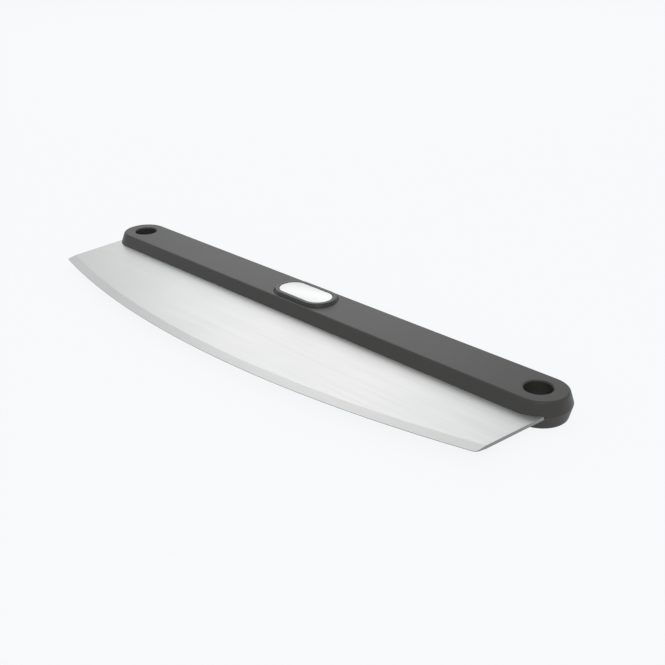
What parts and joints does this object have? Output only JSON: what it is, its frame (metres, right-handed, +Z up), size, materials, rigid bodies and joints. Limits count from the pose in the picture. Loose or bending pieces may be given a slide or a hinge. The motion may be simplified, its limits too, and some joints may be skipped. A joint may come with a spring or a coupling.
{
  "type": "rocking pizza knife",
  "caption": "Rocking pizza knife: a broad curved steel blade clamped along its spine in a long two-shell handle with round ends, hanging holes and a plain badge plate.",
  "frame": {"origin": "centre of the handle's flat underside", "axes": "+X along the handle, -Y towards the cutting edge, +Z up through the flat of the blade"},
  "size_m": [0.3596, 0.0973, 0.0161],
  "materials": {
    "blade_steel": "satin steel, grained along the blade",
    "handle_nylon": "dark grey glass-filled nylon, fine matt texture",
    "bezel_nylon": "dark grey nylon, smooth",
    "badge_steel": "finely blasted steel",
    "screw_steel": "plain steel",
    "insert_brass": "turned brass",
    "pad_foam": "thin adhesive foam"
  },
  "bodies": {
    "root": {"blade": "blade_steel", "upper_shell": "handle_nylon", "lower_shell": "handle_nylon", "threaded_inserts": "insert_brass", "handle_screws": "screw_steel", "badge_bezel": "bezel_nylon", "badge_pad": "pad_foam", "badge_plate": "badge_steel"}
  },
  "joints": []
}
